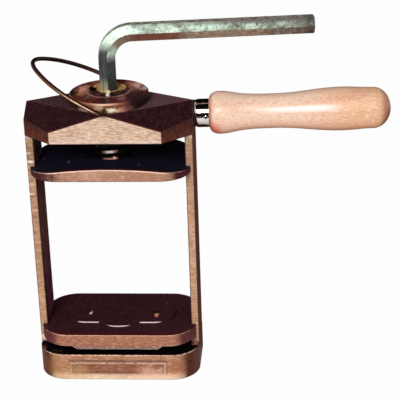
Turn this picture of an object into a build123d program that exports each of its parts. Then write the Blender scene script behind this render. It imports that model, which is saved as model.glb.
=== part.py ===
from build123d import *
from math import asin, cos, degrees, radians, sin
import os

os.makedirs("parts", exist_ok=True)

# A hand screw press for squeezing a flask or mould between two plates. All sizes are in millimetres.
# The origin is the middle of the base's underside: +X runs along the handle, +Y to the back, +Z up.

# Cast frame: base, two posts and head
frame_width = 112.0
post_thickness = 5.5
post_depth = 28.6
base_depth = 66.7
base_height = 20.0
base_corner = 19.0
opening_height = 154.8
head_depth = 63.0
head_middle = 19.7
head_corner = 8.2
head_face_width = 73.5
foot_flare = 2.4
cast_round = 1.0
head_round = 0.8

# Bare framed panel on the front of the base
panel_width = 67.0
panel_height = 10.0
panel_rim = 1.0
panel_rise = 0.6

# Both pressing plates
plate_inset = 2.0
plate_depth = 64.0
plate_corner = 20.0
plate_gap = 0.4
plate_round = 0.6

# Lower plate, carried on two springs
plate_lift = 3.6
lower_thickness = 11.0
pad_step = 2.4
pad_width = 56.0
pad_slope = 3.5
relief_rise = 1.5
relief_width = 29.4
relief_circle = 41.2
relief_round = 0.4

# Upper platen and the daylight between the plates
daylight = 112.5
platen_middle = 8.9
platen_end = 4.4

# Shoulder screws and springs under the lower plate
screw_spacing = 48.0
shoulder_diameter = 8.0
shoulder_thread = 6.0
shoulder_head = 14.4
shoulder_head_height = 4.5
web_bottom = 11.0
spring_seat_low = 5.0
spring_seat_high = 4.0
spring_wire = 1.5
spring_diameter = 14.0
spring_turns = 3.5
spring_room = 1.0
counterbore_room = 0.5
end_slot_width = 1.0
end_slot_depth = 0.8
end_sink = 0.4

# Press screw and what holds it to the platen
thread_diameter = 26.0
thread_pitch = 5.0
thread_depth = 2.6
crest_width = 1.8
screw_proud = 8.9
neck_diameter = 15.0
button_diameter = 21.0
button_thickness = 2.2
disc_thickness = 1.2
pocket_floor = 2.2
keeper_length = 48.0
keeper_width = 22.0
keeper_circle = 28.0
keeper_thickness = 2.2
keeper_sink = 0.9
keeper_split = 0.8
keeper_hole_spacing = 37.0
keeper_screw_diameter = 5.0
keeper_screw_head = 8.4
keeper_head_height = 1.6
keeper_screw_depth = 3.8

# Dish and hexagon socket in the screw's top
dish_rim = 0.8
dish_depth = 1.0
dish_floor = 14.0
socket_depth = 14.0

# Flange nut in the head
nut_flange = 52.9
nut_flange_height = 6.3
nut_barrel = 39.0
nut_lip_width = 2.1
nut_lip_height = 0.7
nut_bevel = 0.7

# Wire bail on the flange nut
bail_wire = 2.8
bail_reach = 55.3
bail_half_width = 36.3
bail_tip_radius = 20.0
bail_side_radius = 55.0
bail_bend = 3.0
bail_angle = 27.5
bail_pivot_height = 1.8
bail_pin_depth = 3.4

# Hexagon key
key_flats = 11.1
key_bend = 17.0
key_reach = 137.0
key_height = 46.3
key_angle = 7.0
key_bevel = 0.6

# Wooden handle with its ferrule
handle_height = 10.2
handle_rise = 1.5
spotface_depth = 0.3
washer_thickness = 1.4
washer_diameter = 18.0
stud_diameter = 8.0
stud_in_head = 12.0
stud_in_wood = 34.0
ferrule_diameter = 19.0
ferrule_wall = 1.0
ferrule_length = 9.6
ferrule_round = 0.8
pin_diameter = 2.6
pin_place = 7.7
pin_dome = 0.5
pin_depth = 3.5
handle_length = 119.5
handle_start_radius = 10.2
shoulder_radius = 14.3
shoulder_place = 7.3
throat_radius = 12.9
throat_place = 17.5
waist_radius = 11.5
waist_place = 43.0
swell_radius = 13.2
swell_from_end = 52.0
belly_radius = 14.45
belly_from_end = 30.5
nose_radius = 13.6
nose_length = 11.5

# Clearances
running_gap = 0.08
fixed_gap = 0.02
seat_gap = 0.1
rest_gap = 0.05
key_slack = 0.2
loose_gap = 0.3

# Heights and half sizes worked out from the sizes above
half_width = frame_width / 2
half_post = post_depth / 2
half_head = head_depth / 2
half_face = head_face_width / 2
post_inside = half_width - post_thickness
post_root = base_height / 4
head_bottom = base_height + opening_height
head_top = head_bottom + head_middle

plate_half_width = half_width - plate_inset
notch_inside = post_inside - plate_gap
notch_width = post_depth + 2 * plate_gap
pad_bottom = base_height + plate_lift
lower_top = pad_bottom + lower_thickness
relief_top = lower_top + relief_rise
platen_bottom = relief_top + daylight
platen_top = platen_bottom + platen_middle
platen_end_top = platen_bottom + platen_end

seat_low = base_height - spring_seat_low
seat_high = pad_bottom + spring_seat_high
seat_radius = (spring_diameter + spring_room) / 2

disc_bottom = platen_bottom + pocket_floor
button_bottom = disc_bottom + disc_thickness + rest_gap
button_top = button_bottom + button_thickness
keeper_top = platen_top - keeper_sink
keeper_seat = keeper_top - keeper_thickness
thread_bottom = keeper_top + loose_gap
screw_top = head_top + screw_proud
pocket_radius = button_diameter / 2 + loose_gap

nut_top = head_top + nut_flange_height
thread_bore_radius = thread_diameter / 2 + running_gap
socket_flats = key_flats + 2 * key_slack
socket_floor = screw_top - dish_depth - socket_depth
bail_pivot = head_top + bail_pivot_height

handle_axis = Plane(
    origin=(half_width, 0, head_bottom + handle_height),
    x_dir=(0, 1, 0),
    z_dir=(cos(radians(handle_rise)), 0, sin(radians(handle_rise))),
)
washer_seat = handle_axis.offset(-spotface_depth)
washer_face = washer_thickness - spotface_depth
ferrule_end = washer_face + ferrule_length
ferrule_inside = ferrule_diameter / 2 - ferrule_wall

sides = {"left": -1, "right": 1}


def plate_blank(bottom, top):
    """The plan shared by both plates: rounded ends, with a notch round each post."""
    with BuildPart() as blank:
        with BuildSketch(Plane.XY.offset(bottom)):
            RectangleRounded(2 * plate_half_width, plate_depth, plate_corner)
            for side in sides.values():
                with Locations((side * (notch_inside + plate_half_width), 0)):
                    Rectangle(2 * plate_half_width, notch_width, mode=Mode.SUBTRACT)
        extrude(amount=top - bottom)
    return blank.part


def finish(shape, name):
    """Name a finished piece and write it to its own file."""
    shape.label = name
    export_step(shape, f"parts/{name}.step")


# Frame: base block, rounded all over as it left the mould
with BuildPart() as base_blank:
    with BuildSketch():
        RectangleRounded(frame_width, base_depth, base_corner)
    extrude(amount=base_height)
    fillet(base_blank.faces().filter_by(Axis.Z).edges(), cast_round)

# Frame: head, a flat diamond on top with four facets falling to the cut corners
with BuildPart() as head_blank:
    with BuildSketch(Plane.XY.offset(head_bottom)):
        Polygon(
            (half_face, -half_head),
            (half_width, -half_post),
            (half_width, half_post),
            (half_face, half_head),
            (-half_face, half_head),
            (-half_width, half_post),
            (-half_width, -half_post),
            (-half_face, -half_head),
            align=None,
        )
    extrude(amount=head_middle)
    for side in sides.values():
        for face in (-1, 1):
            end_peak = Vector(side * half_width, 0, head_top)
            face_peak = Vector(0, face * half_head, head_top)
            face_corner = Vector(side * half_face, face * half_head, head_bottom + head_corner)
            normal = (end_peak - face_peak).cross(face_corner - face_peak)
            facet = Plane(origin=face_peak, z_dir=normal * side * face)
            split(bisect_by=facet, keep=Keep.BOTTOM)
    fillet(head_blank.edges(), head_round)

# Frame: one post, with a flared foot
with BuildPart() as post_blank:
    with BuildSketch(Plane.XY.offset(base_height - post_root)):
        with Locations((half_width - post_thickness / 2, 0)):
            Rectangle(post_thickness, post_depth)
    extrude(amount=post_root + opening_height + head_corner / 2)
    fillet(post_blank.edges().filter_by(Axis.Z), cast_round)
    with BuildSketch(Plane.YZ.offset(post_inside)):
        with Locations((0, base_height)):
            Rectangle(post_depth + 2 * foot_flare, foot_flare, align=(Align.CENTER, Align.MIN))
        with Locations(*[(y * (half_post + foot_flare), base_height + foot_flare) for y in (-1, 1)]):
            Circle(foot_flare, mode=Mode.SUBTRACT)
    extrude(amount=post_thickness - cast_round)

with BuildPart() as press_frame:
    add(base_blank.part)
    add(head_blank.part)
    add(post_blank.part)
    add(post_blank.part.mirror(Plane.YZ))
    # bore for the nut's barrel
    with BuildSketch(Plane.XY.offset(head_bottom)):
        Circle(nut_barrel / 2 + fixed_gap)
    extrude(amount=head_middle, mode=Mode.SUBTRACT)
    # spotface and threaded hole for the handle's stud
    with BuildSketch(washer_seat):
        Circle(washer_diameter / 2 + loose_gap)
    extrude(amount=washer_thickness + spotface_depth, mode=Mode.SUBTRACT)
    with BuildSketch(handle_axis):
        Circle(stud_diameter / 2 + fixed_gap)
    extrude(amount=-stud_in_head, mode=Mode.SUBTRACT)
    # shoulder screws: clearance bore, spring seat above it and counterbore below
    with BuildSketch():
        with GridLocations(screw_spacing, 1, 2, 1):
            Circle(shoulder_diameter / 2 + running_gap)
    extrude(amount=base_height, mode=Mode.SUBTRACT)
    with BuildSketch(Plane.XY.offset(seat_low)):
        with GridLocations(screw_spacing, 1, 2, 1):
            Circle(seat_radius)
    extrude(amount=spring_seat_low, mode=Mode.SUBTRACT)
    with BuildSketch():
        with GridLocations(screw_spacing, 1, 2, 1):
            Circle(shoulder_head / 2 + counterbore_room)
    extrude(amount=web_bottom, mode=Mode.SUBTRACT)
    # raised rim of the bare panel
    with BuildSketch(Plane.XZ.offset(base_depth / 2)):
        with Locations((0, base_height / 2 - panel_rim)):
            Rectangle(panel_width, panel_height)
            Rectangle(panel_width - 2 * panel_rim, panel_height - 2 * panel_rim, mode=Mode.SUBTRACT)
    extrude(amount=panel_rise)
finish(press_frame.part, "press_frame")

# Flange nut: threaded barrel down through the head, flange on top of it
with BuildPart() as flange_nut:
    with BuildSketch(Plane.XZ):
        with BuildLine():
            Polyline(
                (thread_bore_radius, head_bottom),
                (nut_barrel / 2, head_bottom),
                (nut_barrel / 2, head_top),
                (nut_flange / 2, head_top),
                (nut_flange / 2, nut_top - nut_bevel),
                (nut_flange / 2 - nut_bevel, nut_top),
                (thread_bore_radius + nut_lip_width, nut_top),
                (thread_bore_radius + nut_lip_width - nut_lip_height, nut_top + nut_lip_height),
                (thread_bore_radius, nut_top + nut_lip_height),
                close=True,
            )
        make_face()
    revolve(axis=Axis.Z)
    # a blind hole at the front and at the back, for the bail's ends
    for face in (-1, 1):
        wall = Plane.XZ.offset(face * nut_flange / 2)
        with BuildSketch(wall):
            with Locations((0, bail_pivot)):
                Circle(bail_wire / 2 + running_gap)
        extrude(amount=-face * (bail_pin_depth + loose_gap), mode=Mode.SUBTRACT)
finish(flange_nut.part, "flange_nut")

# Wire bail: two pins turned inwards, easy side curves and a rounder tip
tip_centre = bail_reach - bail_tip_radius
tip_half_angle = degrees(asin((bail_side_radius - bail_half_width) / (bail_side_radius - bail_tip_radius)))
side_centre_x = tip_centre - (bail_side_radius - bail_tip_radius) * cos(radians(tip_half_angle))
side_centre_y = bail_side_radius - bail_half_width
side_sweep = 90 + degrees(asin(side_centre_x / bail_side_radius)) - tip_half_angle
pin_end = nut_flange / 2 - bail_pin_depth
bail_plane = Plane(
    origin=(0, 0, bail_pivot),
    x_dir=(-cos(radians(bail_angle)), 0, sin(radians(bail_angle))),
    z_dir=(sin(radians(bail_angle)), 0, cos(radians(bail_angle))),
)
with BuildPart() as bail:
    with BuildLine(bail_plane) as bail_path:
        CenterArc((tip_centre, 0), bail_tip_radius, -tip_half_angle, 2 * tip_half_angle)
        upper = CenterArc((side_centre_x, -side_centre_y), bail_side_radius, tip_half_angle, side_sweep)
        lower = CenterArc((side_centre_x, side_centre_y), bail_side_radius, -tip_half_angle, -side_sweep)
        corner_y = bail_side_radius * cos(asin(side_centre_x / bail_side_radius)) - side_centre_y
        Line((0, corner_y), (0, pin_end))
        Line((0, -corner_y), (0, -pin_end))
        corners = [upper @ 1, lower @ 1]
        fillet([v for v in bail_path.vertices() if min((Vector(v) - c).length for c in corners) < 0.01], bail_bend)
    path = bail_path.wire()
    with BuildSketch(Plane(origin=path @ 0, z_dir=path % 0)):
        Circle(bail_wire / 2)
    sweep(path=path)
finish(bail.part, "bail")

# Press screw: button, neck, ridged thread, and a dish with a hexagon socket in its top
root_radius = thread_diameter / 2 - thread_depth
crest_radius = thread_diameter / 2
flank = (thread_pitch - 2 * crest_width) / 2
ridge_count = int((screw_top - thread_bottom - crest_width - flank) // thread_pitch)
first_ridge = screw_top - crest_width - ridge_count * thread_pitch
ridges = []
for i in range(ridge_count):
    z = first_ridge + i * thread_pitch
    ridges += [(crest_radius, z), (crest_radius, z + crest_width), (root_radius, z + crest_width + flank)]
    ridges += [(root_radius, z + thread_pitch - flank)]
with BuildPart() as press_screw:
    with BuildSketch(Plane.XZ):
        with BuildLine():
            Polyline(
                (0, button_bottom),
                (button_diameter / 2, button_bottom),
                (button_diameter / 2, button_top),
                (neck_diameter / 2, button_top),
                (neck_diameter / 2, thread_bottom),
                (root_radius, thread_bottom),
                (root_radius, first_ridge - flank),
                *ridges,
                (crest_radius, screw_top - crest_width),
                (crest_radius, screw_top - dish_rim / 2),
                (crest_radius - dish_rim / 2, screw_top),
                (crest_radius - dish_rim, screw_top),
                (dish_floor / 2, screw_top - dish_depth),
                (0, screw_top - dish_depth),
                close=True,
            )
        make_face()
    revolve(axis=Axis.Z)
    with BuildSketch(Plane.XY.offset(socket_floor)):
        RegularPolygon(socket_flats / 2, 6, major_radius=False, rotation=30 + key_angle)
    extrude(amount=socket_depth + dish_depth, mode=Mode.SUBTRACT)
finish(press_screw.part, "press_screw")

# Hexagon key standing in the socket, its arm over the handle
leg_bottom = socket_floor + rest_gap
arm_height = head_top + key_height
key_plane = Plane(
    origin=(0, 0, 0),
    x_dir=(cos(radians(key_angle)), sin(radians(key_angle)), 0),
    z_dir=(sin(radians(key_angle)), -cos(radians(key_angle)), 0),
)
with BuildPart() as hex_key:
    with BuildLine(key_plane) as key_path:
        FilletPolyline((0, leg_bottom), (0, arm_height), (key_reach, arm_height), radius=key_bend)
    with BuildSketch(Plane.XY.offset(leg_bottom)):
        RegularPolygon(key_flats / 2, 6, major_radius=False, rotation=30 + key_angle)
    sweep(path=key_path.wire())
    arm_end = Axis((0, 0, 0), key_plane.x_dir)
    chamfer(hex_key.faces().sort_by(Axis.Z)[0].edges(), key_bevel)
    chamfer(hex_key.faces().sort_by(arm_end)[-1].edges(), key_bevel)
finish(hex_key.part, "hex_key")

# Upper platen: crowned along its length, with a sunk seat for the keeper and a pocket for the screw
with BuildPart() as upper_platen:
    add(plate_blank(platen_bottom, platen_top))
    with BuildSketch(Plane.XZ):
        with BuildLine():
            ThreePointArc(
                (-plate_half_width, platen_end_top), (0, platen_top), (plate_half_width, platen_end_top)
            )
            Polyline(
                (plate_half_width, platen_end_top),
                (plate_half_width, platen_bottom),
                (-plate_half_width, platen_bottom),
                (-plate_half_width, platen_end_top),
            )
        make_face()
    extrude(amount=plate_depth, both=True, mode=Mode.INTERSECT)
    crown = upper_platen.faces().filter_by(GeomType.CYLINDER).sort_by(SortBy.AREA)[-1]
    fillet(crown.outer_wire().edges(), plate_round)
    with BuildSketch(Plane.XY.offset(keeper_seat)):
        SlotOverall(keeper_length + 2 * seat_gap, keeper_width + 2 * seat_gap)
        Circle(keeper_circle / 2 + seat_gap)
    extrude(amount=platen_top - keeper_seat, mode=Mode.SUBTRACT)
    with BuildSketch(Plane.XY.offset(disc_bottom)):
        Circle(pocket_radius)
    extrude(amount=keeper_seat - disc_bottom, mode=Mode.SUBTRACT)
    with BuildSketch(Plane.XY.offset(keeper_seat)):
        with GridLocations(keeper_hole_spacing, 1, 2, 1):
            Circle(keeper_screw_diameter / 2 + fixed_gap)
    extrude(amount=-keeper_screw_depth - loose_gap, mode=Mode.SUBTRACT)
    fillet(upper_platen.faces().sort_by(Axis.Z)[0].outer_wire().edges(), plate_round)
finish(upper_platen.part, "upper_platen")

# Thrust disc at the bottom of the platen's pocket
with BuildPart() as thrust_disc:
    with BuildSketch(Plane.XY.offset(disc_bottom)):
        Circle(button_diameter / 2)
    extrude(amount=disc_thickness)
finish(thrust_disc.part, "thrust_disc")

# Keeper: a plate split across the screw's neck, one screw in each half
for name, side in sides.items():
    with BuildPart() as keeper:
        with BuildSketch(Plane.XY.offset(keeper_seat)):
            SlotOverall(keeper_length, keeper_width)
            Circle(keeper_circle / 2)
            Circle(neck_diameter / 2 + loose_gap, mode=Mode.SUBTRACT)
            with Locations((side * keeper_hole_spacing / 2, 0)):
                Circle(keeper_screw_diameter / 2 + fixed_gap, mode=Mode.SUBTRACT)
            with Locations((side * (keeper_split - keeper_length) / 2, 0)):
                Rectangle(keeper_length, keeper_circle, mode=Mode.SUBTRACT)
        extrude(amount=keeper_thickness)
    finish(keeper.part, f"keeper_{name}")

    with BuildPart() as keeper_screw:
        with BuildSketch(Plane.XY.offset(keeper_seat - keeper_screw_depth)):
            with Locations((side * keeper_hole_spacing / 2, 0)):
                Circle(keeper_screw_diameter / 2)
        extrude(amount=keeper_screw_depth + keeper_thickness)
        with BuildSketch(Plane.XY.offset(keeper_top)):
            with Locations((side * keeper_hole_spacing / 2, 0)):
                Circle(keeper_screw_head / 2)
        extrude(amount=keeper_head_height)
        fillet(keeper_screw.edges().sort_by(Axis.Z)[-1], keeper_head_height / 3)
        with BuildSketch(Plane.XY.offset(keeper_top + keeper_head_height)):
            with Locations((side * keeper_hole_spacing / 2, 0)):
                Rectangle(end_slot_width, keeper_screw_head)
        extrude(amount=-end_slot_depth, mode=Mode.SUBTRACT)
    finish(keeper_screw.part, f"keeper_screw_{name}")

# Lower plate: stepped pad below, raised locating relief on top
with BuildPart() as lower_plate:
    add(plate_blank(pad_bottom + pad_step, lower_top))
    with BuildSketch(Plane.XZ):
        with BuildLine():
            Polyline(
                (-pad_width / 2 - pad_slope, pad_bottom + pad_step),
                (-pad_width / 2, pad_bottom),
                (pad_width / 2, pad_bottom),
                (pad_width / 2 + pad_slope, pad_bottom + pad_step),
                close=True,
            )
        make_face()
    extrude(amount=plate_depth / 2, both=True)
    fillet(lower_plate.faces().sort_by(Axis.Z)[-1].outer_wire().edges(), plate_round)
    with BuildSketch(Plane.XY.offset(lower_top)):
        SlotCenterToCenter(screw_spacing, relief_width)
        Circle(relief_circle / 2)
    extrude(amount=relief_rise)
    fillet(lower_plate.faces().sort_by(Axis.Z)[-1].outer_wire().edges(), relief_round)
    with BuildSketch(Plane.XY.offset(pad_bottom)):
        with GridLocations(screw_spacing, 1, 2, 1):
            Circle(shoulder_thread / 2 + fixed_gap)
    extrude(amount=relief_top - pad_bottom, mode=Mode.SUBTRACT)
    with BuildSketch(Plane.XY.offset(pad_bottom)):
        with GridLocations(screw_spacing, 1, 2, 1):
            Circle(seat_radius)
    extrude(amount=spring_seat_high, mode=Mode.SUBTRACT)
finish(lower_plate.part, "lower_plate")

# Shoulder screws, put in from below, and the springs round them
for name, side in sides.items():
    screw_place = (side * screw_spacing / 2, 0)
    head_bottom_face = web_bottom - rest_gap - shoulder_head_height
    with BuildPart() as shoulder_screw:
        with BuildSketch(Plane.XY.offset(head_bottom_face)):
            with Locations(screw_place):
                Circle(shoulder_head / 2)
        extrude(amount=shoulder_head_height)
        with BuildSketch(Plane.XY.offset(head_bottom_face)):
            with Locations(screw_place):
                Circle(shoulder_diameter / 2)
        extrude(amount=seat_high - head_bottom_face)
        with BuildSketch(Plane.XY.offset(head_bottom_face)):
            with Locations(screw_place):
                Circle(shoulder_thread / 2)
        extrude(amount=relief_top - end_sink - head_bottom_face)
        # a driver slot in each end
        with BuildSketch(Plane.XY.offset(relief_top - end_sink)):
            with Locations(screw_place):
                Rectangle(end_slot_width, shoulder_thread)
        extrude(amount=-end_slot_depth, mode=Mode.SUBTRACT)
        with BuildSketch(Plane.XY.offset(head_bottom_face)):
            with Locations(screw_place):
                Rectangle(2 * end_slot_width, shoulder_head)
        extrude(amount=2 * end_slot_depth, mode=Mode.SUBTRACT)
    finish(shoulder_screw.part, f"shoulder_screw_{name}")

    coil_height = seat_high - seat_low - spring_wire
    with BuildPart() as plate_spring:
        coil = Helix(
            pitch=coil_height / spring_turns,
            height=coil_height,
            radius=(spring_diameter - spring_wire) / 2,
            center=(*screw_place, seat_low + spring_wire / 2),
        )
        with BuildSketch(Plane(origin=coil @ 0, z_dir=coil % 0)):
            Circle(spring_wire / 2)
        sweep(path=coil, is_frenet=True)
    finish(plate_spring.part, f"plate_spring_{name}")

# Stud that carries the handle, and the washer against the head
with BuildPart() as handle_stud:
    with BuildSketch(handle_axis.offset(loose_gap - stud_in_head)):
        Circle(stud_diameter / 2)
    extrude(amount=stud_in_head + ferrule_end + stud_in_wood - loose_gap)
finish(handle_stud.part, "handle_stud")

with BuildPart() as stud_washer:
    with BuildSketch(washer_seat):
        Circle(washer_diameter / 2)
        Circle(stud_diameter / 2 + fixed_gap, mode=Mode.SUBTRACT)
    extrude(amount=washer_thickness)
finish(stud_washer.part, "stud_washer")

# Ferrule, handle and the brad that pins them together share one profile plane and one pin hole
profile_plane = Plane(origin=handle_axis.origin, x_dir=handle_axis.z_dir, z_dir=(0, -1, 0))
turning_axis = Axis(handle_axis.origin, handle_axis.z_dir)
pin_plane = Plane(
    origin=handle_axis.origin + handle_axis.z_dir * (washer_face + pin_place),
    z_dir=(0, -1, 0),
)
pin_inside = ferrule_diameter / 2 - pin_depth
with BuildPart() as ferrule:
    with BuildSketch(profile_plane):
        with BuildLine() as tube:
            Polyline(
                (washer_face, ferrule_inside),
                (washer_face, ferrule_diameter / 2),
                (ferrule_end, ferrule_diameter / 2),
                (ferrule_end, ferrule_inside),
                close=True,
            )
        make_face()
    revolve(axis=turning_axis)
    fillet(ferrule.edges().sort_by(Axis.X)[:2].sort_by(SortBy.LENGTH)[-1], ferrule_round)
    with BuildSketch(pin_plane.offset(pin_inside)):
        Circle(pin_diameter / 2 + fixed_gap)
    extrude(amount=pin_depth + pin_dome, mode=Mode.SUBTRACT)
finish(ferrule.part, "ferrule")

handle_end = ferrule_end + handle_length
with BuildPart() as handle:
    with BuildSketch(profile_plane):
        with BuildLine():
            Polyline(
                (ferrule_end, handle_start_radius),
                (ferrule_end, ferrule_inside - fixed_gap),
                (washer_face + fixed_gap, ferrule_inside - fixed_gap),
                (washer_face + fixed_gap, 0),
                (handle_end, 0),
            )
            nose = EllipticalCenterArc(
                (handle_end - nose_length, 0), nose_length, nose_radius, start_angle=0, arc_size=90
            )
            belly = (handle_end - belly_from_end, belly_radius)
            swell = (handle_end - swell_from_end, swell_radius)
            waist = (ferrule_end + waist_place, waist_radius)
            throat = (ferrule_end + throat_place, throat_radius)
            shoulder = (ferrule_end + shoulder_place, shoulder_radius)
            Spline(nose @ 1, belly, swell, waist, tangents=((-1, 0), (-1, 0)))
            Spline(waist, throat, shoulder, tangents=((-1, 0), (-1, 0)))
            Spline(shoulder, (ferrule_end, handle_start_radius), tangents=((-1, 0), (-0.3, -1)))
        make_face()
    revolve(axis=turning_axis)
    with BuildSketch(handle_axis):
        Circle(stud_diameter / 2 + fixed_gap)
    extrude(amount=ferrule_end + stud_in_wood + loose_gap, mode=Mode.SUBTRACT)
    with BuildSketch(pin_plane.offset(pin_inside)):
        Circle(pin_diameter / 2 + fixed_gap)
    extrude(amount=pin_depth, mode=Mode.SUBTRACT)
finish(handle.part, "handle")

with BuildPart() as ferrule_pin:
    with BuildSketch(pin_plane.offset(pin_inside + fixed_gap)):
        Circle(pin_diameter / 2)
    extrude(amount=pin_depth + pin_dome)
    fillet(ferrule_pin.edges().sort_by(Axis.Y)[0], pin_dome)
finish(ferrule_pin.part, "ferrule_pin")
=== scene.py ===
from contextlib import contextmanager
from math import cos, pi, radians, sin, tau

import bpy
from mathutils import Matrix, Vector


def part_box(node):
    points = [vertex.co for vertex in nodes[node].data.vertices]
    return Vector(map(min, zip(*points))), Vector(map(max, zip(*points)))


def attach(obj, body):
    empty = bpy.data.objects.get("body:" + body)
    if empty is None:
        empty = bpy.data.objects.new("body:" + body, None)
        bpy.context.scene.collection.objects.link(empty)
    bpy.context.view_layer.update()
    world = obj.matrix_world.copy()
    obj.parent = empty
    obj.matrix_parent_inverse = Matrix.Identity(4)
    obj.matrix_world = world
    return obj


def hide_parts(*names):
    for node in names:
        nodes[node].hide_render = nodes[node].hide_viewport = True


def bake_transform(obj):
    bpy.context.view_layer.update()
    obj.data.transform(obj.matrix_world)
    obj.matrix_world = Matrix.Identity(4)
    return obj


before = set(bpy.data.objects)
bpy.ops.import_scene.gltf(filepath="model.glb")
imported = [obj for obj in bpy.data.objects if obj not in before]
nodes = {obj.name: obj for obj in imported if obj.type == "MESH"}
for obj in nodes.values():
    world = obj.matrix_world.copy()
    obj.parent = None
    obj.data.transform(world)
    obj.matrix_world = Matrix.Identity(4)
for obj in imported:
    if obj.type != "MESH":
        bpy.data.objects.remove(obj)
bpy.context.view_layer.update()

scene = bpy.context.scene
mm = 0.001
print("frame loaded:", len(nodes), "CAD nodes")

# small helpers for node trees


def linear(colour):
    # a screen colour, three numbers up to 255, as shaders take it; sockets and linear colours stay
    if isinstance(colour, bpy.types.NodeSocket) or len(colour) == 4:
        return colour
    shares = (value / 255 for value in colour)
    return (*(s / 12.92 if s <= 0.04045 else ((s + 0.055) / 1.055) ** 2.4 for s in shares), 1.0)


def addNode(tree, kind, inputs=None, **settings):
    item = tree.nodes.new("ShaderNode" + kind)
    for key, value in settings.items():
        setattr(item, key, value)
    for key, value in (inputs or {}).items():
        if isinstance(value, bpy.types.NodeSocket):
            tree.links.new(value, item.inputs[key])
        else:
            item.inputs[key].default_value = value
    return item


def joinNode(kind, inputs, **settings):
    # a node in the tree that its inputs come from
    tree = next(value.id_data for value in inputs.values() if isinstance(value, bpy.types.NodeSocket))
    return addNode(tree, kind, inputs, **settings)


def newMaterial(name, **sockets):
    # Base_Color stands for the socket "Base Color", and so on
    material = bpy.data.materials.new(name)
    material.use_nodes = True
    shader = material.node_tree.nodes["Principled BSDF"]
    for key, value in sockets.items():
        shader.inputs[key.replace("_", " ")].default_value = value
    return material, material.node_tree, shader


def feed(shader, **sockets):
    for key, value in sockets.items():
        shader.id_data.links.new(value, shader.inputs[key.replace("_", " ")])


def place(tree, centre=(0, 0, 0), turn=(0, 0, 0)):
    # object coordinates in millimetres, measured from centre and then turned
    spot = addNode(tree, "TexCoord").outputs["Object"]
    moved = joinNode("VectorMath", {0: spot, 1: centre}, operation="SUBTRACT").outputs[0]
    return joinNode("Mapping", {"Vector": moved, "Rotation": turn, "Scale": (1 / mm,) * 3}).outputs[0]


def facing(tree):
    # the surface's own direction in object space
    return axes(addNode(tree, "TexCoord").outputs["Normal"])


def axes(vector):
    return joinNode("SeparateXYZ", {0: vector}).outputs


def scaled(spot, amounts):
    return joinNode("VectorMath", {0: spot, 1: amounts}, operation="MULTIPLY").outputs[0]


def noise(spot, size, detail=3.0, rough=0.55, warp=0.0, stretch=None):
    # a cloud from 0 to 1 with blobs about size millimetres across, drawn out where stretch is below 1
    spot = scaled(spot, stretch) if stretch else spot
    inputs = {"Vector": spot, "Scale": 1 / size, "Detail": detail, "Roughness": rough, "Distortion": warp}
    return joinNode("TexNoise", inputs).outputs["Fac"]


def spread(value, low, high):
    # 0 at low and 1 at high, with soft ends
    inputs = {"Value": value, "From Min": low, "From Max": high}
    return joinNode("MapRange", inputs, interpolation_type="SMOOTHSTEP").outputs[0]


def slide(share, first, second):
    # a number that goes from first to second as share goes from 0 to 1
    return joinNode("MapRange", {"Value": share, "To Min": first, "To Max": second}).outputs[0]


def maths(operation, first, second=0.0):
    return joinNode("Math", {0: first, 1: second}, operation=operation).outputs[0]


def times(*factors):
    product = factors[0]
    for factor in factors[1:]:
        product = maths("MULTIPLY", product, factor)
    return product


def blend(share, first, second):
    # first where share is 0, second where it is 1
    inputs = {0: share, 6: linear(first), 7: linear(second)}
    return joinNode("Mix", inputs, data_type="RGBA", clamp_result=True).outputs[2]


def tint(colour, paint, *shares):
    # lays paint over colour as strongly as the product of the shares
    return blend(times(*shares), colour, paint)


def ramp(value, stops):
    item = joinNode("ValToRGB", {0: value})
    while len(item.color_ramp.elements) < len(stops):
        item.color_ramp.elements.new(0.5)
    for element, (position, colour) in zip(item.color_ramp.elements, stops):
        element.position, element.color = position, linear(colour)
    return item.outputs[0]


def edges(tree, width):
    # 0 on flats, up to about 1 on edges, from how much a rounded normal leans away
    rounded = addNode(tree, "Bevel", {"Radius": width * mm}, samples=6).outputs[0]
    true = addNode(tree, "NewGeometry").outputs["Normal"]
    along = joinNode("VectorMath", {0: rounded, 1: true}, operation="DOT_PRODUCT").outputs["Value"]
    return spread(maths("SUBTRACT", 1.0, along), 0.0, 0.28)


def relief(shader, height, depth, soften=None):
    # height from 0 to 1 becomes bumps depth millimetres deep
    inputs = {"Height": height, "Distance": depth * mm}
    if soften:
        inputs["Normal"] = addNode(shader.id_data, "Bevel", {"Radius": soften * mm}, samples=4).outputs[0]
    feed(shader, Normal=joinNode("Bump", inputs).outputs[0])


def dress(material, *names):
    for name in names:
        for slot in nodes[name].material_slots:
            slot.material = material


# camera

camera = {
    "target": (0.05839, 0.0, 0.12213),
    "azimuth": 4.393,
    "elevation": 23.034,
    "roll": -1.858,
    "distance": 0.94957,
    "lens": 125.13,
    "sensor": 36.0,
    "clip": (0.01, 20.0),
}

azimuth, elevation = radians(camera["azimuth"]), radians(camera["elevation"])
away = Vector((sin(azimuth) * cos(elevation), -cos(azimuth) * cos(elevation), sin(elevation)))
bpy.ops.object.camera_add(location=Vector(camera["target"]) + away * camera["distance"])
viewer = bpy.context.object
viewer.name = "camera"
viewer.rotation_mode = "QUATERNION"
level = away.to_track_quat("Z", "Y")
viewer.rotation_quaternion = level @ Matrix.Rotation(radians(camera["roll"]), 3, "Z").to_quaternion()
viewer.data.lens = camera["lens"]
viewer.data.sensor_width = camera["sensor"]
viewer.data.clip_start, viewer.data.clip_end = camera["clip"]
scene.camera = viewer
scene.view_settings.view_transform = "Standard"

# studio

studio = {
    "floorSize": 6.0,
    "floorGlow": 0.975,
    "floorPaint": (0.6, 0.56, 0.53, 1),
    "floorSeen": (0.85, 0.85, 0.85, 1),
    "cardPaint": (0.004, 0.004, 0.004, 1),
    "ambient": 0.22,
}

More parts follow.
